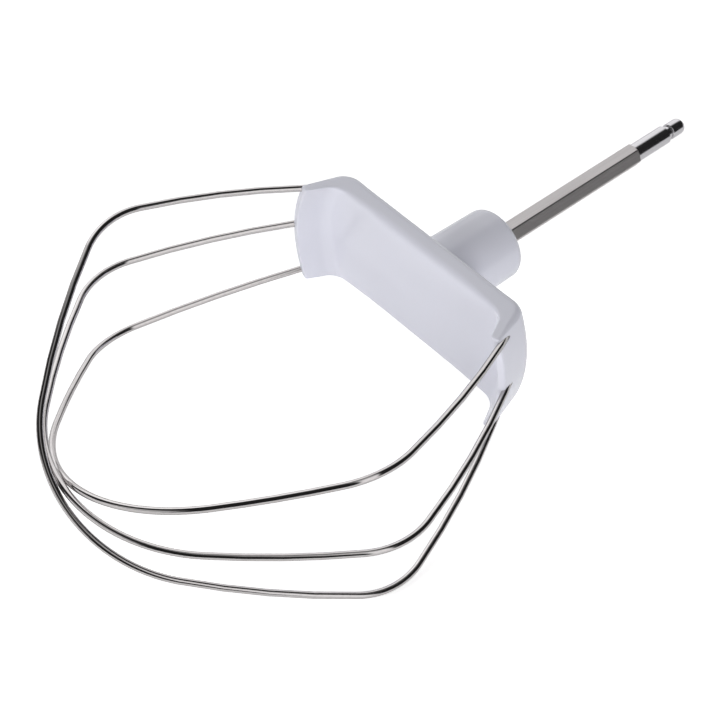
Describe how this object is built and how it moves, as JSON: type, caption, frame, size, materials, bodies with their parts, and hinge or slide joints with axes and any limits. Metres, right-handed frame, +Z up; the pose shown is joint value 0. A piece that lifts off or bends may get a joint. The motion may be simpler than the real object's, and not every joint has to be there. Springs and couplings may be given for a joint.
{
  "type": "stand mixer whisk attachment",
  "caption": "Wire whisk attachment for a stand mixer: nested steel wire hoops in a moulded white hub with a collar, driven by a hexagonal steel shaft with a round locating spigot.",
  "frame": {"origin": "on the shaft's axis, at the shoulder where the hexagon ends and the round spigot begins", "axes": "+X along the hub's bridge, +Y along the shaft towards its tip, +Z up with the whisk lying on its broad side"},
  "size_m": [0.123, 0.2212, 0.0493],
  "materials": {
    "hub_plastic": "gloss moulded plastic",
    "shaft_steel": "drawn hexagonal steel bar with a polished round end",
    "wire_steel": "polished stainless wire"
  },
  "bodies": {
    "root": {"hub": "hub_plastic", "drive_shaft": "shaft_steel", "wire_hoop_outer": "wire_steel", "wire_hoop_middle": "wire_steel", "wire_hoop_inner": "wire_steel"}
  },
  "joints": []
}
